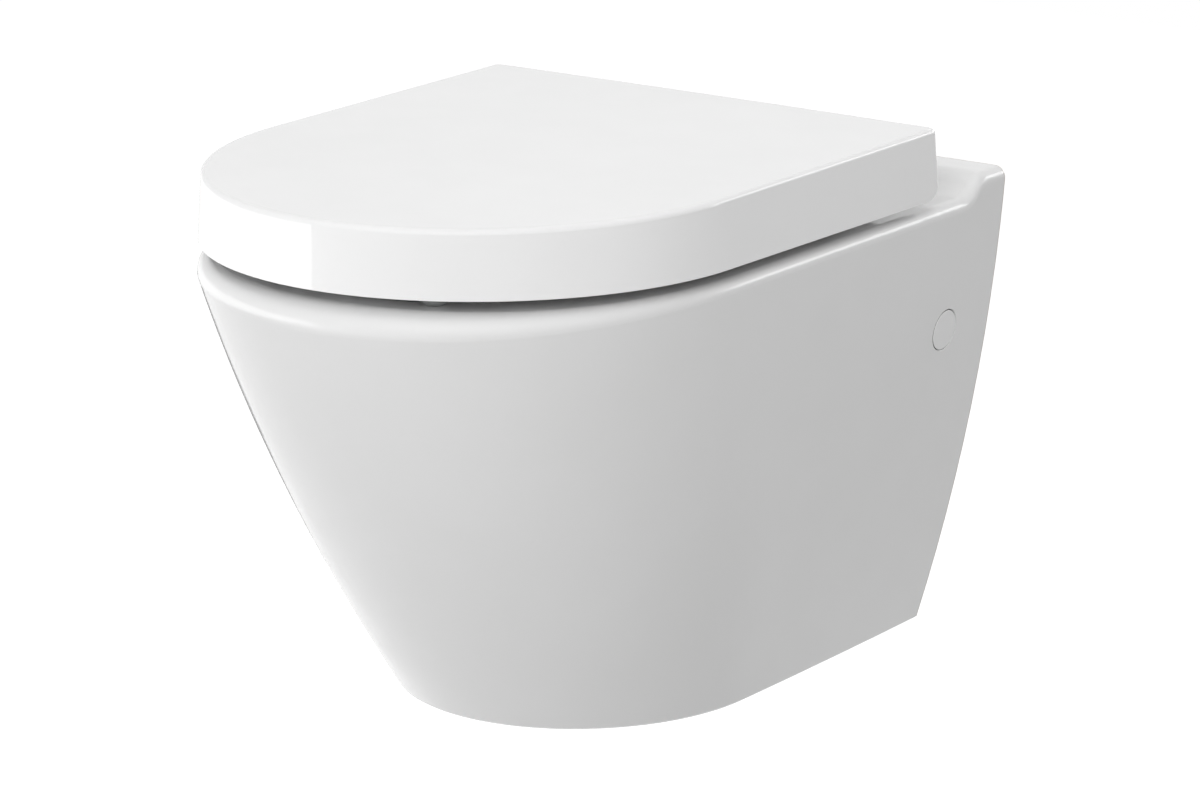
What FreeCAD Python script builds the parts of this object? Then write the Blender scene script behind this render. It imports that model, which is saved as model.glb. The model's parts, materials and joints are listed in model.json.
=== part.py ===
import FreeCAD, Part

import math
import os

from FreeCAD import Vector

# Wall hung toilet: a rimless washdown pan with concealed side fixings, and a seat and a
# wrap-over lid on soft-close, lift-off hinges. All sizes are in millimetres.
# The origin is on the wall face, on the centre line, at the height of the two wall studs.
# +X is the right flank, +Y goes into the wall and +Z is up, so the pan projects towards -Y.

# ---------------------------------------------------------------- wall interface
stud_spacing = 180.0
stud_hole_r = 6.5
stud_r = 6.0
inlet_height = 35.0
inlet_r = 27.5
inlet_length = 50.0
inlet_recess = 12.0
outlet_drop = 100.0
outlet_r = 51.0
outlet_recess = 4.0
outlet_socket = 46.0
outlet_wall = 9.0

# ---------------------------------------------------------------- outer skin of the pan
rim_height = 88.0
pan_drop = 310.0
rim_half_width = 180.0
base_half_width = 118.0
flank_belly = 0.58
flank_bow = 4.0
projection = 524.5
base_projection = 353.0
prow_belly = 0.313
rim_straight = 310.0
base_straight = 220.0
rim_roundness = 2.2
base_roundness = 2.0
skin_wall = 12.0
rim_edge_rear_r = 8.0
rim_edge_front_r = 14.0
base_bevel = 1.5
skin_sections = 5

# ---------------------------------------------------------------- ledge along the wall
ledge_rise = 13.5
ledge_depth = 22.0
ledge_run = 28.0

# ---------------------------------------------------------------- bowl, sump and trapway
deck_wall = 14.0
bowl_wall = 10.0
opening_side_land = 50.0
opening_front_land = 44.0
opening_back = 152.0
opening_centre = 300.0
opening_edge_r = 9.0
opening_roundness = 2.2
flush_ledge_drop = 38.0
flush_ledge_width = 11.0
bowl_fullness = 1.3
bowl_sections = 6
throat_height = -120.0
throat_half_width = 40.0
throat_half_length = 38.0
throat_roundness = 2.0
sump_distance = 275.0
sump_r = 34.0
sump_taper = 2.0
trap_r = 30.0
trap_floor_wall = 17.0
water_seal = 50.0
trap_foot = 205.0
trap_crest_start = 158.0
trap_crest_end = 105.0
trap_tail = 72.0
trap_bend_r = 45.0
rib_offset = 62.5
rib_wall = 9.0
connector_room = 14.0
rib_reach = 175.0
rib_setback = 10.0

# ---------------------------------------------------------------- flush channel
channel_r = 22.0
flow_ring_seat_r = 24.0
flow_ring_length = 8.0
flow_ring_hole_r = 15.0
flow_ring_lip = 2.0

# ---------------------------------------------------------------- concealed side fixings
cap_distance = 56.0
cap_r = 13.6
cap_thickness = 4.0
cap_groove = 0.5
cap_lip_r = 0.8
cap_edge_r = 0.5
cap_stem_r = 4.6
cap_stem_length = 4.5
bush_r = 9.0
bush_length = 18.0
boss_r = 19.0
screw_r = 4.0
screw_head_r = 6.5
screw_head_length = 6.0
screw_head_depth = 6.5
socket_flats = 5.0
socket_depth = 3.5
bracket_sheet = 5.0
bracket_half_height = 22.0
bracket_reach = 80.0
bracket_leg = 22.0
bracket_boss_r = 8.0
bracket_boss_length = 8.0
bracket_end_r = 10.0
washer_r = 12.0
washer_thickness = 2.5
stud_nut_flats = 19.0
stud_nut_height = 10.0
nut_bevel = 0.3
pad_thickness = 2.5
shelf_wall = 11.0

# ---------------------------------------------------------------- seat ring
seat_gap = 9.0
ring_height = 29.0
ring_side_gap = 4.0
ring_front_gap = 3.0
ring_back = 124.0
ring_wall = 4.5
ring_top_wall = 6.0
ring_top_r = 7.0
ring_corner_r = 12.0
ring_hole_half_width = 110.0
ring_hole_half_length = 137.0
ring_hole_centre = 322.0
ring_hole_edge_r = 11.0
ring_hole_roundness = 2.25
ring_ribs = 6
ring_rib = 3.0
ring_rib_lift = 3.0
ring_arm_lift = 2.0
ring_buffer_r = 9.0
buffer_stem_r = 4.0
buffer_play = 0.3
buffer_bevel = 2.0
buffer_front_x = 65.0
ring_buffer_shift = 4.0
ring_buffer_back = 232.0
ring_buffer_front = 38.0

# ---------------------------------------------------------------- lid
lid_height = 141.0
lid_skirt = 46.0
lid_front_lift = 2.4
lid_half_width = 180.0
lid_side_draft = 3.5
lid_back = 78.0
lid_back_bow = 1.7
lid_back_draft = 0.8
lid_straight = 328.0
lid_nose = 193.5
lid_nose_draft = 1.0
lid_wall = 5.0
lid_edge_r = 3.5
lid_corner_r = 7.0
lid_rear_r = 18.0
lid_back_wall_drop = 36.0
lid_back_corner = 4.0
lid_buffer_r = 8.0
lid_buffer_shift = 2.0
lid_buffer_back = 282.0
lid_buffer_front = 32.0

# ---------------------------------------------------------------- hinges
post_spacing = 155.0
post_distance = 104.0
post_r = 7.5
post_height = 13.5
post_flange_r = 17.0
post_flange = 3.5
post_bevel = 1.0
gasket_rim = 1.0
gasket = 1.0
deck_hole_r = 8.0
plug_bulge_r = 10.5
plug_bulge_length = 12.0
plug_bevel = 2.5
plug_nut_flats = 14.0
plug_nut_length = 8.0
bolt_r = 3.0
bolt_head_r = 5.0
bolt_head_length = 5.0
axis_distance = 100.0
axis_height = 118.0
pin_r = 5.0
pin_head_r = 7.5
pin_head_length = 2.5
pin_bevel = 0.8
running_clearance = 0.05
knuckle_r = 12.0
knuckle_length = 22.0
knuckle_gap = 1.0
block_width = 32.0
block_front = 14.0
block_back = 17.0
block_barrel_r = 14.0
block_seat_gap = 0.3
block_shoulder_r = 6.0
damper_r = 9.5
damper_end_wall = 2.5
button_width = 14.0
button_height = 8.0
button_travel = 2.5
button_proud = 1.5
button_length = 4.5
button_play = 0.3
button_rise = 7.5
button_stem_r = 1.5
button_edge = 0.8
spring_wire_r = 0.35
spring_r = 2.6
spring_turns = 3.0
notch_play = 2.5

# ---------------------------------------------------------------- drawing aids
overrun = 1.0
near = 0.1

# ---------------------------------------------------------------- worked-out places
base_height = rim_height - pan_drop
ledge_height = rim_height + ledge_rise
opening_half_width = rim_half_width - opening_side_land
opening_front = projection - opening_front_land
flush_ledge_height = rim_height - flush_ledge_drop
deck_under = rim_height - deck_wall
trap_low = base_height + trap_floor_wall + trap_r
trap_high = trap_low + 2 * trap_r + water_seal
ring_bottom = rim_height + seat_gap
ring_top = ring_bottom + ring_height
lid_bottom = lid_height - lid_skirt
lid_under = lid_height - lid_wall
lid_front = lid_straight + lid_nose
ring_half_width = lid_half_width - lid_wall - ring_side_gap
ring_front = lid_front - lid_wall - ring_front_gap
post_x = post_spacing / 2
bracket_x = stud_spacing / 2
block_inner = post_x - block_width / 2
block_outer = post_x + block_width / 2
flange_top = rim_height + gasket + post_flange
post_top = flange_top + post_height
block_bottom = flange_top + block_seat_gap
bracket_leg_x = bracket_x + bracket_leg
ring_land = (ring_half_width + ring_hole_half_width) / 2
X_AXIS = Vector(1, 0, 0)
Y_AXIS = Vector(0, 1, 0)
Z_AXIS = Vector(0, 0, 1)


# ---------------------------------------------------------------- helpers
def box(x0, x1, y0, y1, z0, z1):
    """A block between two corners."""
    return Part.makeBox(x1 - x0, y1 - y0, z1 - z0, Vector(x0, y0, z0))


def rod(radius, start, end):
    """A cylinder between two points."""
    run = end - start
    return Part.makeCylinder(radius, run.Length, start, run)


def mirrored(shape):
    """The same piece on the other side of the centre line."""
    return shape.mirror(Vector(0, 0, 0), X_AXIS)


def both_sides(shape):
    """A piece and its mirror image, as a group of two solids."""
    return Part.makeCompound([shape, mirrored(shape)])


def face_of(edges):
    """A flat face inside one closed run of edges."""
    return Part.Face(Part.Wire(edges))


def polygon_face(points):
    """A flat face with straight sides."""
    return Part.Face(Part.makePolygon(points + points[:1]))


def bezier(poles):
    """A smooth curve from its first pole to its last, drawn towards the others."""
    curve = Part.BezierCurve()
    curve.setPoles(poles)
    return curve.toShape()


def quarter_turn(start, corner, end, roundness):
    """A quarter of a superellipse of one power, inside a corner: 2 is an ellipse, more is squarer."""
    pull = (8 * 0.5 ** (1 / roundness) - 4) / 3
    return bezier([start, start + (corner - start) * pull, end + (corner - end) * pull, end])


def rounded(shape, radius, edges):
    """A solid with some of its edges rounded."""
    return shape.makeFillet(radius, edges)


def edges_where(shape, test):
    """The edges of a shape whose bounding box passes a test."""
    return [edge for edge in shape.Edges if test(edge.BoundBox)]


def uprights_at(shape, x, y):
    """The upright edges of a shape over one place in plan."""
    return edges_where(shape, lambda b: b.ZLength > near and abs(b.XMin - x) + abs(b.XMax - x) < near
                       and abs(b.YMin - y) + abs(b.YMax - y) < near)


def edges_of_hole(shape, z, half, back):
    """The edges round a hole in a level face: within half of the centre line, in front of back."""
    return edges_where(shape, lambda b: abs(b.ZMin - z) + abs(b.ZMax - z) < near and b.YMax < -back + near
                       and b.XMax < half + near and b.XMin > -half - near)


def chamfered(shape, size, edges):
    """A solid with some of its edges bevelled."""
    return shape.makeChamfer(size, edges)


def hexagon_bar(flats, height):
    """A hexagonal bar that stands on the origin."""
    corner = flats / math.sqrt(3)
    turns = [math.pi * i / 3 for i in range(6)]
    points = [Vector(corner * math.cos(turn), corner * math.sin(turn), 0) for turn in turns]
    return polygon_face(points).extrude(Z_AXIS * height)


def placed(shape, start, direction):
    """A shape that stands on the origin, moved to a start point and turned to a direction."""
    shape.Placement = FreeCAD.Placement(start, FreeCAD.Rotation(Z_AXIS, direction))
    return shape


def write(name, shape):
    """One STEP file for one node."""
    shape.exportStep("parts/" + name + ".step")


# ---------------------------------------------------------------- outer skin of the pan
def skin_share(z):
    """How far down the skin a height is: 0 at the rim plane and 1 at the base."""
    return (rim_height - z) / pan_drop


def flank_x(y, z):
    """Half the pan's width at a place on its straight flank."""
    u = skin_share(z)
    narrowing = (rim_half_width - base_half_width) * (u - flank_belly * u * (1 - u))
    straight = rim_straight + (base_straight - rim_straight) * u
    along = min(max(-y / straight, 0.0), 1.0)
    return rim_half_width - narrowing + flank_bow * u * (1 - (1 - along) ** 2)


def skin_outline(z, inset=0.0):
    """The D-shaped section of the skin at one height, run a little way into the wall."""
    u = skin_share(z)
    straight = rim_straight + (base_straight - rim_straight) * u
    front = projection - (projection - base_projection) * (u - prow_belly * u * (1 - u)) - inset
    roundness = rim_roundness + (base_roundness - rim_roundness) * u
    half = flank_x(-straight, z) - inset
    rear = flank_x(0, z) - inset
    tip = Vector(0, -front, z)
    right, left = [], []
    for side, edges in ((1, right), (-1, left)):
        wall = Vector(side * rear, overrun, z)
        belly = Vector(side * half, -straight / 2, z)
        shoulder = Vector(side * half, -straight, z)
        edges.append(bezier([wall, belly, shoulder]))
        edges.append(quarter_turn(shoulder, Vector(side * half, -front, z), tip, roundness))
    wall_side = Part.makeLine(Vector(-rear, overrun, z), Vector(rear, overrun, z))
    return Part.Wire(right + left[::-1] + [wall_side])


def skin_loft(low, high, inset=0.0):
    """The solid inside the skin between two heights."""
    heights = [low + (high - low) * i / (skin_sections - 1) for i in range(skin_sections)]
    return Part.makeLoft([skin_outline(z, inset) for z in heights], True)


def above_rim():
    """The space over the rim plane, up to the S-shaped front of the ledge."""
    radius = (ledge_run ** 2 + ledge_rise ** 2) / (4 * ledge_rise)
    half_turn = math.asin(ledge_run / (2 * radius)) / 2
    over, drop = radius * math.sin(half_turn), radius * (1 - math.cos(half_turn))
    top = Vector(0, -ledge_depth, ledge_height)
    foot = Vector(0, -ledge_depth - ledge_run, rim_height)
    middle = (top + foot) / 2
    far, high = -2 * projection, 2 * ledge_height
    edges = [
        Part.Arc(top, top + Vector(0, -over, -drop), middle).toShape(),
        Part.Arc(middle, foot + Vector(0, over, drop), foot).toShape(),
        Part.makeLine(foot, Vector(0, far, rim_height)),
        Part.makeLine(Vector(0, far, rim_height), Vector(0, far, high)),
        Part.makeLine(Vector(0, far, high), Vector(0, -ledge_depth, high)),
        Part.makeLine(Vector(0, -ledge_depth, high), top),
    ]
    width = 4 * rim_half_width
    face = face_of(edges)
    face.translate(Vector(-width / 2, 0, 0))
    return face.extrude(Vector(width, 0, 0))


def behind_wall():
    """The space behind the wall face."""
    width = 4 * rim_half_width
    return box(-width / 2, width / 2, 0, 2 * overrun, 2 * base_height, 2 * lid_height)


def skin_solid():
    """The pan's outer form as one solid: a rim edge rounder at the prow, and a bevelled base edge."""
    foot_top = base_height + base_bevel
    foot = Part.makeLoft([skin_outline(base_height, base_bevel), skin_outline(foot_top)], True, True)
    solid = skin_loft(foot_top, ledge_height).fuse(foot).cut(above_rim()).cut(behind_wall())
    half = solid.common(box(0, 2 * rim_half_width, -2 * projection, 0, base_height, ledge_height))
    rim = edges_where(half, lambda b: b.ZMin > rim_height - near and b.YLength > near
                      and b.XMax > rim_half_width / 2)
    half = half.makeFillet(rim_edge_rear_r, rim_edge_front_r, rim)
    return half.fuse(mirrored(half)).removeSplitter()


# ---------------------------------------------------------------- bowl, sump and trapway
def oval(z, half, back, front, centre, roundness):
    """An egg-shaped outline, widest at centre; back and front are distances from the wall."""
    ends = [Vector(half, -centre, z), Vector(0, -front, z), Vector(-half, -centre, z), Vector(0, -back, z)]
    bounds = ((half, front), (-half, front), (-half, back), (half, back))
    corners = [Vector(side, -far, z) for side, far in bounds]
    quarters = zip(ends, corners, ends[1:] + ends[:1])
    return Part.Wire([quarter_turn(start, corner, end, roundness) for start, corner, end in quarters])


def opening_outline(z, extra):
    """The outline of the bowl's opening, grown by extra all round."""
    return oval(z, opening_half_width + extra, opening_back - extra, opening_front + extra,
                opening_centre, opening_roundness)


def bowl_outline(share, extra):
    """The bowl's section, from the flush ledge at share 0 to the throat at share 1."""
    z = flush_ledge_height + (throat_height - flush_ledge_height) * share
    open_share = (1 - share ** 2) ** bowl_fullness
    half = throat_half_width
    half += (opening_half_width - flush_ledge_width - throat_half_width) * open_share
    back = sump_distance - throat_half_length
    back += (opening_back + flush_ledge_width - back) * open_share
    front = sump_distance + throat_half_length
    front += (opening_front - flush_ledge_width - front) * open_share
    centre = sump_distance + (opening_centre - sump_distance) * open_share
    roundness = throat_roundness + (opening_roundness - throat_roundness) * open_share
    return oval(z, half + extra, back - extra, front + extra, centre, roundness)


def rim_well(extra):
    """The upright-sided top of the bowl, from the flush ledge to the rim plane."""
    well = Part.Face(opening_outline(flush_ledge_height - extra, extra))
    return well.extrude(Z_AXIS * (flush_ledge_drop + extra))


def bowl_form(extra):
    """The bowl from the rim plane to the sump floor, grown by extra all round."""
    sections = [bowl_outline(i / (bowl_sections - 1), extra) for i in range(bowl_sections)]
    foot_r = sump_r - sump_taper + extra
    sections.append(oval(trap_low - sump_taper, foot_r, sump_distance - foot_r,
                         sump_distance + foot_r, sump_distance, throat_roundness))
    funnel = Part.makeLoft(sections, True)
    floor = Part.makeSphere(sump_r + extra, Vector(0, -sump_distance, trap_low))
    return rim_well(extra).fuse(funnel).fuse(floor)


def bent_path(points, radius):
    """Straight runs joined by tangent arcs of one radius."""
    edges, last = [], points[0]
    for before, corner, after in zip(points, points[1:], points[2:]):
        arrive = (corner - before).normalize()
        leave = (after - corner).normalize()
        half_turn = arrive.getAngle(leave) / 2
        back_off = radius * math.tan(half_turn)
        start, end = corner - arrive * back_off, corner + leave * back_off
        inward = (leave - arrive).normalize()
        middle = corner + inward * radius * (1 / math.cos(half_turn) - 1)
        edges.append(Part.makeLine(last, start))
        edges.append(Part.Arc(start, middle, end).toShape())
        last = end
    edges.append(Part.makeLine(last, points[-1]))
    return Part.Wire(edges)


def trapway(radius):
    """The waterway: back from the sump, up over the weir and down to the soil outlet."""
    stations = [
        Vector(0, -sump_distance, trap_low),
        Vector(0, -trap_foot, trap_low),
        Vector(0, -trap_crest_start, trap_high),
        Vector(0, -trap_crest_end, trap_high),
        Vector(0, -trap_tail, -outlet_drop),
        Vector(0, -outlet_recess, -outlet_drop),
    ]
    circle = Part.Wire([Part.makeCircle(radius, stations[0], Y_AXIS)])
    return bent_path(stations, trap_bend_r).makePipeShell([circle], True, False)


def outlet_form(radius):
    """The straight round end of the trapway, where the soil connector goes on."""
    start = Vector(0, -outlet_recess - outlet_socket, -outlet_drop)
    return rod(radius, start, Vector(0, -outlet_recess, -outlet_drop))


def inlet_point(depth):
    """A place on the axis of the flush inlet, a depth in from its mouth."""
    return Vector(0, -inlet_recess - depth, inlet_height)


def channel_end():
    """How far in from the inlet's mouth the flush channel breaks into the bowl."""
    return opening_back + flush_ledge_width + bowl_wall - inlet_recess


def inlet_outside():
    """The outside of the inlet socket and of the flush channel behind it."""
    socket = rod(inlet_r + bowl_wall, inlet_point(inlet_length + bowl_wall), inlet_point(0))
    return socket.fuse(rod(channel_r + bowl_wall, inlet_point(channel_end()), inlet_point(inlet_length)))


def inlet_waterway():
    """What is bored out of the inlet: socket, seat of the flow ring and channel."""
    seat_end = inlet_length + flow_ring_length
    way = rod(inlet_r, inlet_point(inlet_length), inlet_point(-overrun))
    way = way.fuse(rod(flow_ring_seat_r, inlet_point(seat_end), inlet_point(inlet_length)))
    return way.fuse(rod(channel_r, inlet_point(channel_end()), inlet_point(seat_end)))


# ---------------------------------------------------------------- concealed side fixings
def flank_point():
    """The middle of the right-hand fixing hole, on the skin."""
    return Vector(flank_x(-cap_distance, 0), -cap_distance, 0)


def flank_normal():
    """The outward direction of the skin at the fixing hole."""
    step = 1.0
    slope_y = (flank_x(step - cap_distance, 0) - flank_x(-step - cap_distance, 0)) / (2 * step)
    slope_z = (flank_x(-cap_distance, step) - flank_x(-cap_distance, -step)) / (2 * step)
    return Vector(1, -slope_y, -slope_z).normalize()


def cap_seat(radius, depth):
    """A round recess square to the skin round the fixing hole."""
    return rod(radius, flank_point() - flank_normal() * depth, flank_point() + flank_normal() * depth)


def cap_rims(shape, radius):
    """The edges where a round form about a cap's axis meets the skin, on either flank."""
    rims = []
    for edge in shape.Edges:
        middle = edge.valueAt((edge.FirstParameter + edge.LastParameter) / 2)
        reach = Vector(abs(middle.x), middle.y, middle.z) - flank_point()
        depth = reach.dot(flank_normal())
        across = (reach - flank_normal() * depth).Length
        if abs(depth) < cap_thickness / 2 and abs(across - radius) < near:
            rims.append(edge)
    return rims


def bush_inner():
    """Where the nylon bush ends inside the pan."""
    return flank_x(-cap_distance, 0) - bush_length


def side_boss():
    """A ceramic boss that thickens the flank round the bush."""
    centre = Vector(bush_inner(), -cap_distance, 0)
    return rod(boss_r, centre, centre + X_AXIS * bush_length)


def bearing_shelf():
    """The ceramic shelf between flank and rib that rests on the bracket."""
    low = bracket_half_height + pad_thickness
    return box(rib_offset, rim_half_width, -bracket_reach, -rib_setback, low, low + shelf_wall)


# ---------------------------------------------------------------- pan, cast in four joined forms
def side_frame():
    """The rib, shelf and boss behind the right flank."""
    rib = box(rib_offset - rib_wall / 2, rib_offset + rib_wall / 2, -rib_reach, -rib_setback,
              base_height + skin_wall / 2, deck_under + deck_wall / 2)
    spigot_start = Vector(0, -outlet_recess - outlet_socket, -outlet_drop)
    rib = rib.cut(rod(outlet_r + connector_room, spigot_start, Vector(0, 0, -outlet_drop)))
    return rib.fuse(bearing_shelf()).fuse(side_boss()).cut(bowl_form(bowl_wall))


def side_holes():
    """What is bored out of the right side: the bush's hole, the cap's recess and the post's hole."""
    hole = rod(bush_r, Vector(bush_inner() - overrun, -cap_distance, 0), flank_point() + X_AXIS)
    hole = hole.fuse(cap_seat(cap_r + cap_groove, cap_thickness))
    return hole.fuse(rod(deck_hole_r, post_point(deck_under - overrun), post_point(rim_height + overrun)))


def pan_shell():
    """The pan's skin: flanks, prow, base and deck, with the ribs and shelves behind the flanks."""
    skin = skin_solid()
    top = skin.cut(rim_well(0))
    brim = edges_of_hole(top, rim_height, opening_half_width, opening_back)
    top = rounded(top, opening_edge_r, brim)
    hollow = skin_loft(base_height + skin_wall, deck_under, skin_wall)
    shell = top.cut(hollow)
    for piece in (side_frame(), mirrored(side_frame())):
        shell = shell.fuse(piece.common(skin))
    for hole in (side_holes(), mirrored(side_holes())):
        shell = shell.cut(hole)
    return rounded(shell, cap_lip_r, cap_rims(shell, cap_r + cap_groove))


def between_plates(shape):
    """What a shape holds between the top of the base plate and the underside of the deck."""
    width = 4 * rim_half_width
    return shape.common(box(-width / 2, width / 2, -2 * projection, 0, base_height + skin_wall, deck_under))


def bowl():
    """The bowl under the deck's opening: a flush ledge, a funnel and a round sump."""
    body = between_plates(bowl_form(bowl_wall))
    for way in (bowl_form(0), trapway(trap_r), inlet_waterway()):
        body = body.cut(way)
    return body


def pan_trapway():
    """The trapway behind the bowl, with the spigot for the soil connector."""
    body = between_plates(trapway(trap_r + bowl_wall)).fuse(outlet_form(outlet_r))
    body = body.cut(bowl_form(bowl_wall))
    bore = outlet_form(outlet_r - outlet_wall)
    bore.translate(Y_AXIS * overrun)
    return body.cut(trapway(trap_r)).cut(bore)


def flush_inlet():
    """The inlet socket and the channel that carries the flush to the back of the bowl."""
    return inlet_outside().cut(bowl_form(bowl_wall)).cut(inlet_waterway())


# ---------------------------------------------------------------- pieces of the side fixings
def hexagon_nut(flats, height, bore):
    """A hexagon nut that stands on the origin, with its far corners bevelled at 30 degrees."""
    top_r = flats / 2 - nut_bevel
    bevel = Part.makeCone(top_r + height * math.sqrt(3), top_r, height)
    return hexagon_bar(flats, height).common(bevel).cut(Part.makeCylinder(bore, height))


def side_cap():
    """The glazed-look cap over the side screw: its face follows the skin, its stem plugs the bush."""
    disc = cap_seat(cap_r, cap_thickness).common(skin_loft(base_height, ledge_height))
    disc = rounded(disc, cap_edge_r, cap_rims(disc, cap_r))
    under = flank_point() - flank_normal() * cap_thickness
    return disc.fuse(rod(cap_stem_r, under - flank_normal() * cap_stem_length, under))


def side_bush():
    """The nylon bush in the flank, with a pocket for the screw head."""
    start = Vector(bush_inner(), -cap_distance, 0)
    body = rod(bush_r, start, flank_point() + X_AXIS)
    body = body.cut(cap_seat(2 * bush_r, cap_thickness))
    head = Vector(screw_seat(), -cap_distance, 0)
    body = body.cut(rod(screw_head_r, head, flank_point() + X_AXIS))
    return body.cut(rod(screw_r, start, head))


def screw_seat():
    """Where the screw's head bears in the bush."""
    return flank_x(-cap_distance, 0) - cap_thickness - screw_head_depth - screw_head_length


def side_screw():
    """The hexagon-socket screw that draws the pan onto the bracket."""
    seat = Vector(screw_seat(), -cap_distance, 0)
    tip = Vector(bracket_leg_x - bracket_sheet - bracket_boss_length, -cap_distance, 0)
    end = seat + X_AXIS * screw_head_length
    body = rod(screw_r, tip, seat).fuse(rod(screw_head_r, seat, end))
    return body.cut(placed(hexagon_bar(socket_flats, socket_depth), end, -X_AXIS))


def wall_bracket():
    """The bent steel angle on the wall stud, with the threaded boss for the side screw."""
    outer_x, inner_x = bracket_leg_x, bracket_leg_x - bracket_sheet
    high = bracket_half_height
    plate = box(bracket_x - bracket_leg, outer_x, -bracket_sheet, 0, -high, high)
    leg = box(inner_x, outer_x, -bracket_reach, 0, -high, high)
    body = plate.fuse(leg).removeSplitter()
    body = rounded(body, 1.5 * bracket_sheet, uprights_at(body, outer_x, 0))
    body = rounded(body, 0.5 * bracket_sheet, uprights_at(body, inner_x, -bracket_sheet))
    ends = edges_where(body, lambda b: b.YMax < -bracket_reach + near and b.XLength > near)
    body = rounded(body, bracket_end_r, ends)
    boss_end = Vector(inner_x - bracket_boss_length, -cap_distance, 0)
    body = body.fuse(rod(bracket_boss_r, boss_end, Vector(inner_x, -cap_distance, 0)))
    body = body.cut(rod(screw_r, boss_end, Vector(outer_x, -cap_distance, 0)))
    stud_hole = rod(stud_hole_r, Vector(bracket_x, -bracket_sheet, 0), Vector(bracket_x, 0, 0))
    return body.cut(stud_hole)


def stud_washer():
    """The washer between the bracket and its nut."""
    back = Vector(bracket_x, -bracket_sheet, 0)
    front = back - Y_AXIS * washer_thickness
    return rod(washer_r, front, back).cut(rod(stud_hole_r, front, back))


def stud_nut():
    """The nut that holds the bracket on its wall stud."""
    start = Vector(bracket_x, -bracket_sheet - washer_thickness, 0)
    return placed(hexagon_nut(stud_nut_flats, stud_nut_height, stud_r), start, -Y_AXIS)


def bearing_pad():
    """The rubber pad between the bracket and the pan's shelf."""
    high = bracket_half_height
    return box(bracket_leg_x - bracket_sheet, bracket_leg_x, -bracket_reach + bracket_end_r,
               -rib_setback, high, high + pad_thickness)


def flow_ring():
    """The plastic ring that trims the flush, in its seat behind the inlet socket."""
    start = inlet_point(inlet_length + flow_ring_length)
    ring = rod(flow_ring_seat_r, start, inlet_point(inlet_length))
    return ring.cut(Part.makeCone(flow_ring_hole_r, flow_ring_seat_r - flow_ring_lip,
                                  flow_ring_length, start, Y_AXIS))


# ---------------------------------------------------------------- hinge posts
def post_point(z):
    """A height on the axis of the right-hand hinge post."""
    return Vector(post_x, -post_distance, z)


def plug_end():
    """How deep the expansion plug reaches."""
    return deck_under - plug_bulge_length


def hinge_post():
    """The stainless post that the seat's hinge drops onto."""
    low = rim_height + gasket
    flange = rod(post_flange_r, post_point(low), post_point(flange_top))
    flange = chamfered(flange, post_bevel, edges_where(flange, lambda b: b.ZMin > flange_top - near))
    shaft = rod(post_r, post_point(low), post_point(post_top))
    shaft = chamfered(shaft, post_bevel, edges_where(shaft, lambda b: b.ZMin > post_top - near))
    post = flange.fuse(shaft)
    post = post.cut(rod(bolt_head_r, post_point(post_top - bolt_head_length), post_point(post_top)))
    return post.cut(rod(bolt_r, post_point(low), post_point(post_top)))


def post_gasket():
    """The rubber washer under the post's flange."""
    low, high = post_point(rim_height), post_point(rim_height + gasket)
    return rod(post_flange_r + gasket_rim, low, high).cut(rod(bolt_r, low, high))


def expansion_plug():
    """The rubber plug in the deck hole, drawn tight under the deck."""
    end = post_point(plug_end())
    plug = rod(deck_hole_r, end, post_point(rim_height))
    bulge = rod(plug_bulge_r, end, post_point(deck_under))
    bulge = chamfered(bulge, plug_bevel, edges_where(bulge, lambda b: b.ZLength < near))
    return plug.fuse(bulge).cut(rod(bolt_r, end, post_point(rim_height)))


def plug_nut():
    """The nut that draws the plug up."""
    start = post_point(plug_end() - plug_nut_length)
    return placed(hexagon_nut(plug_nut_flats, plug_nut_length, bolt_r), start, Z_AXIS)


def post_bolt():
    """The socket-head bolt down through post, deck and plug."""
    head_low = post_point(post_top - bolt_head_length)
    bolt = rod(bolt_head_r, head_low, post_point(post_top))
    bolt = bolt.fuse(rod(bolt_r, post_point(plug_end() - plug_nut_length), head_low))
    return bolt.cut(placed(hexagon_bar(socket_flats, socket_depth), post_point(post_top), -Z_AXIS))


# ---------------------------------------------------------------- hinge blocks
def axis_point(x):
    """A place on the hinge axis."""
    return Vector(x, -axis_distance, axis_height)


def block_front_y():
    """The front face of the hinge block."""
    return -post_distance - block_front


def block_back_y():
    """The rear face of the hinge block."""
    return -post_distance + block_back


def button_solid(grow, front, rear):
    """A rounded button-shaped prism from front to rear."""
    half_w, half_h = button_width / 2 + grow, button_height / 2 + grow
    middle = button_middle()
    body = box(post_x - half_w, post_x + half_w, front, rear, middle - half_h, middle + half_h)
    corners = edges_where(body, lambda b: b.YLength > near and b.XLength + b.ZLength < near)
    return rounded(body, button_height / 3, corners)


def button_middle():
    """The height of the button's axis."""
    return block_bottom + button_rise


def button_rest_front():
    """Where the button's head ends inside the block when nobody presses it."""
    return block_back_y() + button_proud - button_length


def button_floor():
    """The floor of the button's pocket."""
    return button_rest_front() - button_travel - button_play


def release_button():
    """The spring-loaded button on the rear of the hinge block."""
    head = button_solid(0.0, button_rest_front(), block_back_y() + button_proud)
    rim = edges_where(head, lambda b: b.YMin > block_back_y() + button_proud - near)
    head = rounded(head, button_edge, rim)
    centre = Vector(post_x, 0, button_middle())
    stem = rod(button_stem_r, centre + Y_AXIS * (button_floor() + button_play),
               centre + Y_AXIS * button_rest_front())
    return head.fuse(stem)


def button_spring():
    """The small return spring round the button's stem, coiled from six-sided wire."""
    length = button_rest_front() - button_floor()
    coil_length = length - 2 * spring_wire_r
    helix = Part.makeHelix(coil_length / spring_turns, coil_length, spring_r)
    wire = placed(hexagon_bar(math.sqrt(3) * spring_wire_r, near).Faces[-1].OuterWire,
                  Vector(spring_r, 0, 0), Y_AXIS)
    coil = Part.Wire(helix).makePipeShell([wire], True, True)
    return placed(coil, Vector(post_x, button_floor() + spring_wire_r, button_middle()), Y_AXIS)


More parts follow.
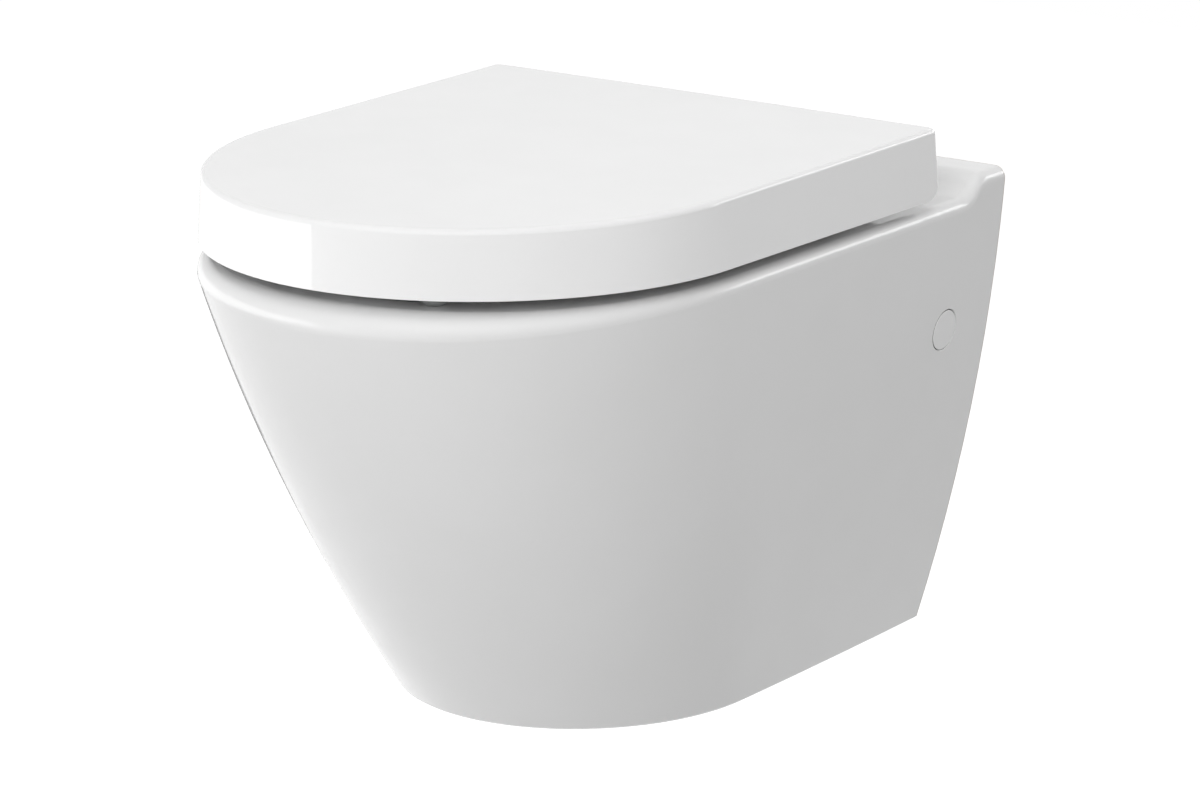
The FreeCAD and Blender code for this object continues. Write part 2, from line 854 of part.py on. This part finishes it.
def hinge_block():
    """The hinge body: a barrel for the damper over a foot that drops onto the post."""
    x0, x1 = block_inner, block_outer
    barrel = rod(block_barrel_r, axis_point(x0), axis_point(x1))
    foot = box(x0, x1, block_front_y(), block_back_y(), block_bottom, axis_height)
    shoulder = edges_where(foot, lambda b: b.ZMin > axis_height - near and b.XLength > near)
    foot = rounded(foot, block_shoulder_r, shoulder)
    block = foot.fuse(barrel).removeSplitter()
    block = block.cut(rod(damper_r, axis_point(x0 + damper_end_wall), axis_point(x1)))
    block = block.cut(rod(pin_r, axis_point(x0), axis_point(x1)))
    bore_top = post_point(post_top + block_seat_gap)
    block = block.cut(rod(post_r + running_clearance, post_point(block_bottom), bore_top))
    pocket = button_solid(button_play, button_floor(), block_back_y() + overrun)
    centre = Vector(post_x, 0, button_middle())
    guide = rod(button_stem_r + running_clearance, centre + Y_AXIS * (button_floor() - button_travel),
                centre + Y_AXIS * button_floor())
    return block.cut(pocket.fuse(guide))


def damper():
    """The soft-close cartridge in the barrel."""
    start, end = axis_point(block_inner + damper_end_wall), axis_point(block_outer)
    return rod(damper_r, start, end).cut(rod(pin_r, start, end))


def pin_start():
    """The inner end of the hinge pin's shank, under its head."""
    return block_inner - knuckle_gap - knuckle_length - knuckle_gap


def hinge_pin():
    """The steel pin through lid knuckle, block and ring knuckle."""
    end = block_outer + knuckle_gap + knuckle_length + knuckle_gap
    pin = rod(pin_r, axis_point(pin_start()), axis_point(end))
    pin = chamfered(pin, pin_bevel, edges_where(pin, lambda b: b.XMin > end - near))
    head = rod(pin_head_r, axis_point(pin_start() - pin_head_length), axis_point(pin_start()))
    outer = pin_start() - pin_head_length
    head = chamfered(head, pin_bevel, edges_where(head, lambda b: b.XMax < outer + near))
    return pin.fuse(head)


# ---------------------------------------------------------------- seat ring
def seat_outline(z, half, back, straight, nose, bow=0.0):
    """Two straight sides from the back edge, closed at the front by half an ellipse."""
    right, left = Vector(half, -straight, z), Vector(-half, -straight, z)
    tip, centre = Vector(0, -straight - nose, z), Vector(0, -straight, z)
    ellipse = Part.Ellipse(tip, right, centre) if nose > half else Part.Ellipse(right, tip, centre)
    front = Part.ArcOfEllipse(ellipse, ellipse.parameter(right), ellipse.parameter(left))
    if front.value((front.FirstParameter + front.LastParameter) / 2).y > -straight:
        front = Part.ArcOfEllipse(ellipse, ellipse.parameter(left), ellipse.parameter(right))
    rear_right, rear_left = Vector(half, -back, z), Vector(-half, -back, z)
    if bow:
        rear = Part.Arc(rear_left, Vector(0, bow - back, z), rear_right).toShape()
    else:
        rear = Part.makeLine(rear_left, rear_right)
    return Part.Wire([Part.makeLine(rear_right, right), front.toShape(),
                      Part.makeLine(left, rear_left), rear])


def ring_outline(z, inset=0.0):
    """The outside of the seat ring at one height."""
    nose = ring_front - lid_straight
    return seat_outline(z, ring_half_width - inset, ring_back + inset, lid_straight, nose - inset)


def ring_hole(z, grow=0.0):
    """The opening of the seat ring at one height."""
    back = ring_hole_centre - ring_hole_half_length - grow
    front = ring_hole_centre + ring_hole_half_length + grow
    return oval(z, ring_hole_half_width + grow, back, front, ring_hole_centre, ring_hole_roundness)


def buffer_places(half, back, front):
    """Four places for buffers: two by the hinges and two by the prow."""
    return [Vector(side * x, -y, 0) for side in (1, -1) for x, y in ((half, back), (buffer_front_x, front))]


def ring_buffer_places():
    """The middle of the rim under the seat ring."""
    return buffer_places(ring_land + ring_buffer_shift, ring_buffer_back, ring_front - ring_buffer_front)


def ring_arm():
    """The arm and knuckle that carry the ring on its hinge pin."""
    start = block_outer + knuckle_gap
    end = start + knuckle_length
    low = axis_height - knuckle_r + ring_arm_lift
    arm = box(start, end, -ring_back - ring_wall, -axis_distance, low, ring_top - overrun)
    arm = arm.fuse(rod(knuckle_r, axis_point(start), axis_point(end))).removeSplitter()
    return arm.cut(rod(pin_r + running_clearance, axis_point(start), axis_point(end)))


def ring_hollow():
    """The hollow under the ring, less the ribs across it and the bosses for the buffers."""
    hollow = Part.Face(ring_outline(ring_bottom, ring_wall)).extrude(Z_AXIS * (ring_height - ring_top_wall))
    hollow = hollow.cut(Part.Face(ring_hole(ring_bottom, ring_wall)).extrude(Z_AXIS * ring_height))
    for i in range(ring_ribs):
        rib = box(-2 * ring_half_width, 2 * ring_half_width, -ring_rib / 2, ring_rib / 2,
                  ring_bottom + ring_rib_lift, ring_top)
        rib.rotate(Vector(0, 0, 0), Z_AXIS, 180 / ring_ribs * (i + 0.5))
        rib.translate(Vector(0, -ring_hole_centre, 0))
        hollow = hollow.cut(rib)
    for place in ring_buffer_places():
        hollow = hollow.cut(rod(ring_buffer_r, place + Z_AXIS * ring_bottom, place + Z_AXIS * ring_top))
    return hollow


def seat_ring():
    """The duroplast ring: a dished top on two skirts, hollow and ribbed underneath."""
    body = Part.Face(ring_outline(ring_bottom)).extrude(Z_AXIS * ring_height)
    for side in (1, -1):
        body = rounded(body, ring_corner_r, uprights_at(body, side * ring_half_width, -ring_back))
    body = rounded(body, ring_top_r, edges_where(body, lambda b: b.ZMin > ring_top - near))
    body = body.cut(Part.Face(ring_hole(ring_bottom)).extrude(Z_AXIS * ring_height))
    inner = edges_of_hole(body, ring_top, ring_hole_half_width, ring_back)
    body = rounded(body, ring_hole_edge_r, inner).cut(ring_hollow())
    for place in ring_buffer_places():
        low = place + Z_AXIS * ring_bottom
        body = body.cut(rod(buffer_stem_r, low, low + Z_AXIS * ring_height / 2))
    return body.fuse(ring_arm()).fuse(mirrored(ring_arm()))


def ring_buffer(place):
    """A rubber foot under the ring, with a stem in the ring's boss."""
    low = place + Z_AXIS * (rim_height + buffer_play)
    high = place + Z_AXIS * ring_bottom
    foot = rod(ring_buffer_r, low, high)
    foot = chamfered(foot, buffer_bevel, edges_where(foot, lambda b: b.ZMax < low.z + near))
    return foot.fuse(rod(buffer_stem_r, high, high + Z_AXIS * ring_height / 2))


# ---------------------------------------------------------------- lid
def lid_outline(z, inset=0.0, bow=0.0):
    """The outside of the lid at one height; its sides and back lean in towards the top."""
    up = (z - lid_bottom) / lid_skirt
    half = lid_half_width - lid_side_draft * up - inset
    nose = lid_nose - lid_nose_draft * up - inset
    back = lid_back + lid_back_draft * up + inset
    return seat_outline(z, half, back, lid_straight, nose, bow)


def lid_arm():
    """The web and knuckle that hang the lid on its hinge pin."""
    end = block_inner - knuckle_gap
    start = end - knuckle_length
    web = box(start, end, -axis_distance - knuckle_r, -axis_distance + knuckle_r,
              axis_height, lid_under + overrun)
    arm = web.fuse(rod(knuckle_r, axis_point(start), axis_point(end))).removeSplitter()
    return arm.cut(rod(pin_r + running_clearance, axis_point(start), axis_point(end)))


def lid_buffer_places():
    """Where the lid's buffers meet the flat top of the ring."""
    return buffer_places(ring_land + lid_buffer_shift, lid_buffer_back, ring_front - lid_buffer_front)


def rear_corner_cutter():
    """What is cut off the rear lower corners of the skirt, so that they clear the deck."""
    rear, bottom = -lid_back, lid_bottom
    centre = Vector(0, rear - lid_rear_r, bottom + lid_rear_r)
    start, end = centre - Z_AXIS * lid_rear_r, centre + Y_AXIS * lid_rear_r
    middle = centre + (Y_AXIS - Z_AXIS).normalize() * lid_rear_r
    far, low = lid_back_bow + lid_rear_r - lid_back, bottom - overrun
    edges = [
        Part.Arc(start, middle, end).toShape(),
        Part.makeLine(end, Vector(0, far, end.z)),
        Part.makeLine(Vector(0, far, end.z), Vector(0, far, low)),
        Part.makeLine(Vector(0, far, low), Vector(0, start.y, low)),
        Part.makeLine(Vector(0, start.y, low), start),
    ]
    face = face_of(edges)
    face.translate(Vector(-2 * lid_half_width, 0, 0))
    return face.extrude(Vector(4 * lid_half_width, 0, 0))


def lid_back_gate():
    """What is cut out of the back wall: all of it below the deck's ledge, and notches for the hinges."""
    half = lid_half_width - lid_wall - lid_side_draft - lid_back_corner
    rear = -lid_back - lid_back_draft - lid_wall - overrun
    gate = box(-half, half, rear, 0, lid_bottom - overrun, lid_height - lid_back_wall_drop)
    start, end = block_inner - notch_play, block_outer + notch_play
    notch = box(start, end, rear, 0, lid_bottom - overrun, lid_under)
    return gate.fuse(notch).fuse(mirrored(notch))


def front_wedge():
    """What is cut off under the skirt, so that its front hangs a little higher than its back."""
    slope = math.degrees(math.atan(lid_front_lift / (lid_front - lid_back)))
    wedge = box(-2 * lid_half_width, 2 * lid_half_width, -2 * lid_front, 0, -lid_skirt, 0)
    wedge.rotate(Vector(0, 0, 0), X_AXIS, -slope)
    wedge.translate(Vector(0, -lid_back, lid_bottom))
    return wedge


def lid():
    """The wrap-over duroplast lid: a flat top, a deep skirt and a low back wall."""
    body = Part.makeLoft([lid_outline(lid_bottom, 0, lid_back_bow),
                          lid_outline(lid_height, 0, lid_back_bow)], True, True)
    uprights = edges_where(body, lambda b: b.ZLength > lid_skirt / 2 and b.YMin > -lid_back - lid_wall)
    body = rounded(body, lid_corner_r, uprights)
    body = rounded(body, lid_edge_r, edges_where(body, lambda b: b.ZMin > lid_height - near))
    hollow = Part.makeLoft([lid_outline(lid_bottom, lid_wall), lid_outline(lid_under, lid_wall)],
                           True, True)
    for tool in (hollow, lid_back_gate(), rear_corner_cutter(), front_wedge()):
        body = body.cut(tool)
    body = body.fuse(lid_arm()).fuse(mirrored(lid_arm()))
    for place in lid_buffer_places():
        high = place + Z_AXIS * lid_under
        body = body.cut(rod(buffer_stem_r / 2, high, high + Z_AXIS * lid_wall / 2))
    return body


def lid_buffer(place):
    """A rubber foot under the lid, with a stem in the lid."""
    low, high = place + Z_AXIS * (ring_top + buffer_play), place + Z_AXIS * lid_under
    foot = rod(lid_buffer_r, low, high)
    foot = chamfered(foot, buffer_bevel, edges_where(foot, lambda b: b.ZMax < low.z + near))
    return foot.fuse(rod(buffer_stem_r / 2, high, high + Z_AXIS * lid_wall / 2))


# ---------------------------------------------------------------- main
PAIRED = {
    "wall_bracket": wall_bracket,
    "side_bush": side_bush,
    "side_cap": side_cap,
    "hinge_post": hinge_post,
    "hinge_block": hinge_block,
    "soft_close_damper": damper,
    "hinge_pin": hinge_pin,
    "release_button": release_button,
    "button_spring": button_spring,
}
GROUPED = {
    "side_screws": side_screw,
    "stud_washers": stud_washer,
    "stud_nuts": stud_nut,
    "bearing_pads": bearing_pad,
    "post_gaskets": post_gasket,
    "expansion_plugs": expansion_plug,
    "plug_nuts": plug_nut,
    "post_bolts": post_bolt,
}

os.makedirs("parts", exist_ok=True)
write("pan_shell", pan_shell())
write("bowl", bowl())
write("trapway", pan_trapway())
write("flush_inlet", flush_inlet())
write("flow_ring", flow_ring())
for name, maker in PAIRED.items():
    piece = maker()
    write(name + "_right", piece)
    write(name + "_left", mirrored(piece))
for name, maker in GROUPED.items():
    write(name, both_sides(maker()))
write("seat_ring", seat_ring())
write("ring_buffers", Part.makeCompound([ring_buffer(place) for place in ring_buffer_places()]))
write("lid", lid())
write("lid_buffers", Part.makeCompound([lid_buffer(place) for place in lid_buffer_places()]))
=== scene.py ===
import json
import math

import bpy
from mathutils import Matrix, Vector

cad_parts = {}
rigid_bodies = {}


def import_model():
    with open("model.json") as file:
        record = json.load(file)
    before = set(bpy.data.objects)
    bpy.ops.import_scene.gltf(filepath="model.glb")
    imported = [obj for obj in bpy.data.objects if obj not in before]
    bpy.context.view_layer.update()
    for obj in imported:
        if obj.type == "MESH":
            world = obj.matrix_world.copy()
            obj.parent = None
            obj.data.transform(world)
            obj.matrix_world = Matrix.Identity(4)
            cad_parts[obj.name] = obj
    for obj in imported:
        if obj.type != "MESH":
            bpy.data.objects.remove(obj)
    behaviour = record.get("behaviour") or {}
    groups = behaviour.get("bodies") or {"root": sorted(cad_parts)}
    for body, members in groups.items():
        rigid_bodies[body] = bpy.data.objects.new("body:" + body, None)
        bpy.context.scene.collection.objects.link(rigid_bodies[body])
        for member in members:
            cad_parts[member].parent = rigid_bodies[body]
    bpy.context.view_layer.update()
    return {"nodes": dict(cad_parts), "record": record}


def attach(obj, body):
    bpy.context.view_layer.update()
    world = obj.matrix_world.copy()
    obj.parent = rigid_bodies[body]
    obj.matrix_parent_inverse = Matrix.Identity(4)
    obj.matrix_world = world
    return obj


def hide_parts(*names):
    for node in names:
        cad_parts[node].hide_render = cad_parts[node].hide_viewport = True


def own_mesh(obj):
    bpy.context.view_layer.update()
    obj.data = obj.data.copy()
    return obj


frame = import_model()
nodes = frame["nodes"]
record = frame["record"]

# All sizes are in metres, in the part's own frame: -Y is the front and +Z is up.

# ---------------------------------------------------------------- camera
CAMERA_PLACE = Vector((2.0092, -3.0834, 0.9097))
CAMERA_AZIMUTH = math.radians(34.943)
CAMERA_ELEVATION = math.radians(15.167)
CAMERA_ROLL = math.radians(0.213)
SENSOR_WIDTH = 36.0
LENS = 166.5
NEAREST, FARTHEST = 0.1, 100.0


def make_camera():
    """A long lens, off the pan's right front corner and a little above it."""
    data = bpy.data.cameras.new("camera")
    data.sensor_width = SENSOR_WIDTH
    data.lens = LENS
    data.clip_start, data.clip_end = NEAREST, FARTHEST
    camera = bpy.data.objects.new("camera", data)
    a, e, roll = CAMERA_AZIMUTH, CAMERA_ELEVATION, CAMERA_ROLL
    back = Vector((math.sin(a) * math.cos(e), -math.cos(a) * math.cos(e), math.sin(e)))
    level = Vector((math.cos(a), math.sin(a), 0.0))
    up = back.cross(level)
    right = level * math.cos(roll) + up * math.sin(roll)
    above = up * math.cos(roll) - level * math.sin(roll)
    turn = Matrix((right, above, back)).transposed()
    camera.matrix_world = Matrix.Translation(CAMERA_PLACE) @ turn.to_4x4()
    bpy.context.scene.collection.objects.link(camera)
    bpy.context.scene.camera = camera


# ---------------------------------------------------------------- studio
MIDDLE = Vector((0.0, -0.27, -0.05))
ROOM_LIGHT = 0.22
WHITE_ROOM = 1.0
FLOOR_HEIGHT = -0.70
FLOOR_REACH = 4.0
FLOOR_TONE = 0.36
FLOOR_GLOW = 0.95


def area_light(name, place, width, height, radiance):
    """A softbox that faces the middle of the part and doesn't show in the gloss."""
    data = bpy.data.lights.new(name, "AREA")
    data.shape = "RECTANGLE"
    data.size, data.size_y = width, height
    data.energy = radiance * math.pi * width * height
    lamp = bpy.data.objects.new(name, data)
    lamp.location = place
    lamp.rotation_mode = "QUATERNION"
    lamp.rotation_quaternion = (MIDDLE - place).to_track_quat("-Z", "Y")
    lamp.visible_camera = False
    lamp.visible_glossy = False
    bpy.context.scene.collection.objects.link(lamp)


def around(azimuth, elevation, distance):
    """A place seen from the middle of the part, in degrees from +X and above the level."""
    a, e = math.radians(azimuth), math.radians(elevation)
    direction = Vector((math.cos(a) * math.cos(e), math.sin(a) * math.cos(e), math.sin(e)))
    return MIDDLE + direction * distance


def seen_directly(tree):
    """1 for a ray that shows the surface to the camera, straight, in a mirror or through glass."""
    path = tree.nodes.new("ShaderNodeLightPath")
    total = path.outputs["Is Camera Ray"]
    for name in ("Is Glossy Ray", "Is Transmission Ray"):
        more = tree.nodes.new("ShaderNodeMath")
        more.operation = "MAXIMUM"
        tree.links.new(total, more.inputs[0])
        tree.links.new(path.outputs[name], more.inputs[1])
        total = more.outputs[0]
    return total


def background(tree, strength):
    """A white background of some strength."""
    node = tree.nodes.new("ShaderNodeBackground")
    node.inputs["Color"].default_value = (1, 1, 1, 1)
    node.inputs["Strength"].default_value = strength
    return node.outputs[0]


def make_world():
    """A room that looks white and gives a weak even light."""
    world = bpy.data.worlds.new("studio")
    bpy.context.scene.world = world
    world.use_nodes = True
    tree = world.node_tree
    tree.nodes.clear()
    mix = tree.nodes.new("ShaderNodeMixShader")
    out = tree.nodes.new("ShaderNodeOutputWorld")
    tree.links.new(seen_directly(tree), mix.inputs[0])
    tree.links.new(background(tree, ROOM_LIGHT), mix.inputs[1])
    tree.links.new(background(tree, WHITE_ROOM), mix.inputs[2])
    tree.links.new(mix.outputs[0], out.inputs[0])


def stage_sheet(name, corners, material):
    """A flat four-sided sheet of the stage."""
    mesh = bpy.data.meshes.new(name)
    mesh.from_pydata(corners, [], [(0, 1, 2, 3)])
    mesh.materials.append(material)
    sheet = bpy.data.objects.new(name, mesh)
    bpy.context.scene.collection.objects.link(sheet)
    return sheet


def mirror_card(name, corners, front, back):
    """A card that only the gloss shows, as a highlight or an outline.

    Its glow changes evenly along Y, from its front end to its back end.
    """
    material = bpy.data.materials.new(name)
    material.use_nodes = True
    tree = material.node_tree
    tree.nodes.clear()
    place = tree.nodes.new("ShaderNodeTexCoord")
    parts = tree.nodes.new("ShaderNodeSeparateXYZ")
    tree.links.new(place.outputs["Object"], parts.inputs[0])
    fade = tree.nodes.new("ShaderNodeMapRange")
    fade.inputs["From Min"].default_value = min(corner[1] for corner in corners)
    fade.inputs["From Max"].default_value = max(corner[1] for corner in corners)
    fade.inputs["To Min"].default_value = front
    fade.inputs["To Max"].default_value = back
    tree.links.new(parts.outputs["Y"], fade.inputs["Value"])
    glow = tree.nodes.new("ShaderNodeEmission")
    tree.links.new(fade.outputs["Result"], glow.inputs["Strength"])
    out = tree.nodes.new("ShaderNodeOutputMaterial")
    tree.links.new(glow.outputs[0], out.inputs[0])
    card = stage_sheet(name, corners, material)
    card.visible_camera = False
    card.visible_diffuse = False
    card.visible_transmission = False
    card.visible_shadow = False


def paper_material():
    """Paper that looks white where it is lit, and keeps a shadow."""
    material = bpy.data.materials.new("paper")
    material.use_nodes = True
    tree = material.node_tree
    tree.nodes.clear()
    paper = tree.nodes.new("ShaderNodeBsdfDiffuse")
    paper.inputs["Color"].default_value = (FLOOR_TONE, FLOOR_TONE, FLOOR_TONE, 1)
    glow = tree.nodes.new("ShaderNodeEmission")
    strength = tree.nodes.new("ShaderNodeMath")
    strength.operation = "MULTIPLY"
    strength.inputs[1].default_value = FLOOR_GLOW
    tree.links.new(seen_directly(tree), strength.inputs[0])
    tree.links.new(strength.outputs[0], glow.inputs["Strength"])
    both = tree.nodes.new("ShaderNodeAddShader")
    out = tree.nodes.new("ShaderNodeOutputMaterial")
    tree.links.new(paper.outputs[0], both.inputs[0])
    tree.links.new(glow.outputs[0], both.inputs[1])
    tree.links.new(both.outputs[0], out.inputs[0])
    return material


bpy.context.scene.view_settings.view_transform = "Standard"
make_camera()
make_world()
stage_sheet("floor", [(x * FLOOR_REACH, y * FLOOR_REACH, FLOOR_HEIGHT)
                      for x, y in ((-1, -1), (1, -1), (1, 1), (-1, 1))], paper_material())

# The reflection that ends on the lid's front left, and lights the left end of the rim.
mirror_card("left_panel", [(-1.6, 1.0, -0.42), (-1.6, -3.05, -0.66),
                           (-1.6, -2.7, 0.1), (-1.6, 1.0, 0.2)], front=4.0, back=0.9)
# The thin dark line along the pan's left outline.
mirror_card("outline_card", [(-1.4, 0.63, -0.66), (-1.1, 0.87, -0.66),
                             (-1.1, 0.87, -0.3), (-1.4, 0.63, -0.3)], front=0.1, back=0.1)
# The highlight along the right edge of the rim and on the corner of the ledge.
mirror_card("back_strip", [(1.35, 1.05, 0.45), (0.0, 1.75, 0.45),
                           (0.0, 1.75, 0.78), (1.35, 1.05, 0.78)], front=4.5, back=4.5)

area_light("top", Vector((0.0, -0.3, 2.0)), 2.4, 2.4, radiance=0.97)
area_light("left", around(-165, 15, 2.6), 2.2, 1.8, radiance=1.0)
area_light("near", around(-65, 25, 2.8), 2.4, 1.6, radiance=3.0)
area_light("low", around(-125, -14, 2.2), 2.0, 0.6, radiance=5.2)
area_light("right_low", around(-20, 24, 2.6), 2.2, 1.0, radiance=1.65)
area_light("back", around(95, 25, 2.6), 2.0, 1.6, radiance=1.2)


# ---------------------------------------------------------------- materials
SPREAD_LOW, SPREAD_HIGH = 0.2, 0.8
MIX_FIRST, MIX_SECOND, MIX_RESULT = 6, 7, 2
GLOSS_SCALE, GLOSS_DETAIL = 30.0, 2.0
WAVE_DETAIL = 1.0
GRAIN_DETAIL = 3.0
BARE_FROM, BARE_TO = -0.0012, -0.0004
GAP_SAMPLES = 16


def noise(tree, scale, detail, stretch):
    """A noise that is fixed to the part; its scale is in features per metre."""
    place = tree.nodes.new("ShaderNodeTexCoord")
    mapping = tree.nodes.new("ShaderNodeMapping")
    mapping.inputs["Scale"].default_value = stretch
    tree.links.new(place.outputs["Object"], mapping.inputs["Vector"])
    node = tree.nodes.new("ShaderNodeTexNoise")
    node.inputs["Scale"].default_value = scale
    node.inputs["Detail"].default_value = detail
    tree.links.new(mapping.outputs["Vector"], node.inputs["Vector"])
    return node.outputs["Fac"]


def spread(tree, source, low, high):
    """Turns most of a source's 0 to 1 into low to high, smoothly."""
    node = tree.nodes.new("ShaderNodeMapRange")
    node.interpolation_type = "SMOOTHERSTEP"
    node.inputs["From Min"].default_value = SPREAD_LOW
    node.inputs["From Max"].default_value = SPREAD_HIGH
    node.inputs["To Min"].default_value = low
    node.inputs["To Max"].default_value = high
    tree.links.new(source, node.inputs["Value"])
    return node.outputs["Result"]


def blend_colours(tree, share, first, second):
    """A colour between two others, which are colours or the outputs of other nodes."""
    node = tree.nodes.new("ShaderNodeMix")
    node.data_type = "RGBA"
    tree.links.new(share, node.inputs["Factor"])
    for socket, colour in ((MIX_FIRST, first), (MIX_SECOND, second)):
        if isinstance(colour, tuple):
            node.inputs[socket].default_value = (*colour, 1)
        else:
            tree.links.new(colour, node.inputs[socket])
    return node.outputs[MIX_RESULT]


def bump(tree, source, height, below=None):
    """A relief of some height in metres, on top of another."""
    node = tree.nodes.new("ShaderNodeBump")
    node.inputs["Distance"].default_value = height
    tree.links.new(source, node.inputs["Height"])
    if below:
        tree.links.new(below, node.inputs["Normal"])
    return node.outputs["Normal"]


def finish(name, colours, roughness, metallic=0.0, specular=0.5, coat=0.0, coat_roughness=0.03,
           mottle=(9.0, 2.0), wave=(70.0, 1e-5), grain=(900.0, 4e-6), stretch=(1.0, 1.0, 1.0)):
    """A finish between two colours and two roughnesses, with a wave and a grain in its relief.

    The mottle has a scale and a detail. The wave and the grain have a scale and a height.
    """
    material = bpy.data.materials.new(name)
    material.use_nodes = True
    tree = material.node_tree
    shader = tree.nodes["Principled BSDF"]
    shader.inputs["Metallic"].default_value = metallic
    shader.inputs["Specular IOR Level"].default_value = specular
    shader.inputs["Coat Weight"].default_value = coat
    shader.inputs["Coat Roughness"].default_value = coat_roughness
    clouds = spread(tree, noise(tree, *mottle, stretch), 0.0, 1.0)
    tree.links.new(blend_colours(tree, clouds, *colours), shader.inputs["Base Color"])
    patches = noise(tree, GLOSS_SCALE, GLOSS_DETAIL, stretch)
    tree.links.new(spread(tree, patches, *roughness), shader.inputs["Roughness"])
    ripple = noise(tree, wave[0], WAVE_DETAIL, stretch)
    fine = noise(tree, grain[0], GRAIN_DETAIL, stretch)
    relief = bump(tree, fine, grain[1], bump(tree, ripple, wave[1]))
    tree.links.new(relief, shader.inputs["Normal"])
    if coat:
        tree.links.new(bump(tree, ripple, wave[1]), shader.inputs["Coat Normal"])
    return material


def leave_unglazed(material, colour, roughness):
    """Bare china on the face that is ground flat for the wall, where the glaze is left off."""
    tree = material.node_tree
    shader = tree.nodes["Principled BSDF"]
    place = tree.nodes.new("ShaderNodeTexCoord")
    parts = tree.nodes.new("ShaderNodeSeparateXYZ")
    tree.links.new(place.outputs["Object"], parts.inputs[0])
    bare = tree.nodes.new("ShaderNodeMapRange")
    bare.inputs["From Min"].default_value = BARE_FROM
    bare.inputs["From Max"].default_value = BARE_TO
    tree.links.new(parts.outputs["Y"], bare.inputs["Value"])
    share = bare.outputs["Result"]
    for name, value in (("Base Color", colour), ("Roughness", (roughness,) * 3)):
        glazed = shader.inputs[name].links[0].from_socket
        tree.links.new(blend_colours(tree, share, glazed, value), shader.inputs[name])


def paint_gap_shade(material, colour, reach):
    """Painted shade in the narrow gap round a piece: its colour darkens where a neighbour is
    within reach.
    """
    tree = material.node_tree
    shader = tree.nodes["Principled BSDF"]
    # Painted shade: ambient occlusion turns the base colour towards the given dark colour.
    openness = tree.nodes.new("ShaderNodeAmbientOcclusion")
    openness.samples = GAP_SAMPLES
    openness.inputs["Distance"].default_value = reach
    share = spread(tree, openness.outputs["AO"], 0.0, 1.0)
    unshaded_colour = shader.inputs["Base Color"].links[0].from_socket
    tree.links.new(blend_colours(tree, share, colour, unshaded_colour), shader.inputs["Base Color"])


materials = {
    "vitreous_china": finish("glaze", ((0.815, 0.815, 0.813), (0.83, 0.83, 0.83)), (0.29, 0.37),
                             specular=0.3, coat=0.7, wave=(45.0, 2e-5)),
    "duroplast": finish("duroplast", ((0.86, 0.86, 0.86), (0.88, 0.88, 0.88)), (0.3, 0.4),
                        coat=0.8, wave=(60.0, 1e-5)),
    "cap_plastic": finish("cap", ((0.88, 0.88, 0.88), (0.9, 0.9, 0.9)), (0.3, 0.4), coat=0.3,
                          grain=(1500.0, 1e-5)),
    "white_plastic": finish("white_plastic", ((0.78, 0.78, 0.77), (0.82, 0.82, 0.81)),
                            (0.35, 0.5), grain=(1500.0, 1e-5)),
    "grey_plastic": finish("grey_plastic", ((0.28, 0.285, 0.29), (0.33, 0.335, 0.34)),
                           (0.3, 0.5), grain=(1500.0, 1e-5)),
    "soft_rubber": finish("soft_rubber", ((0.33, 0.34, 0.34), (0.38, 0.39, 0.39)),
                          (0.6, 0.8), grain=(1200.0, 2e-5)),
    "black_rubber": finish("black_rubber", ((0.02, 0.02, 0.02), (0.05, 0.05, 0.05)),
                           (0.5, 0.8), grain=(1200.0, 3e-5)),
    "stainless": finish("stainless", ((0.55, 0.54, 0.53), (0.66, 0.65, 0.64)), (0.28, 0.4),
                        metallic=1.0, grain=(900.0, 6e-6), stretch=(1.0, 1.0, 6.0)),
    "chrome_plate": finish("chrome", ((0.72, 0.73, 0.75), (0.8, 0.81, 0.83)), (0.05, 0.12),
                           metallic=1.0, grain=(700.0, 1e-6)),
    "zinc_steel": finish("zinc", ((0.48, 0.5, 0.54), (0.64, 0.65, 0.66)), (0.3, 0.5),
                         metallic=1.0, mottle=(160.0, 1.0), grain=(1100.0, 1e-5)),
}
leave_unglazed(materials["vitreous_china"], (0.72, 0.69, 0.63), roughness=0.75)
# Painted shade: the cap's colour goes dark grey in the groove round it, where the pan's recess is
# near.
paint_gap_shade(materials["cap_plastic"], (0.2, 0.2, 0.2), reach=0.002)

for subpart in record["subparts"]:
    mesh = nodes[subpart["node"]].data
    mesh.materials.clear()
    mesh.materials.append(materials[subpart["material_slot"]])


# ---------------------------------------------------------------- button springs
def shorten_spring(joint, spring):
    """A copy of the spring that stands on the hinge block, in place of the spring node, which is
    hidden.
    """
    coil = bpy.data.objects.new("coil_of_" + joint["name"], nodes[spring["node"]].data.copy())
    bpy.context.scene.collection.objects.link(coil)
    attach(coil, joint["parent"])
    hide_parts(spring["node"])
    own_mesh(coil)


for joint in record["behaviour"]["joints"]:
    for spring in joint.get("deforming_nodes", []):
        shorten_spring(joint, spring)
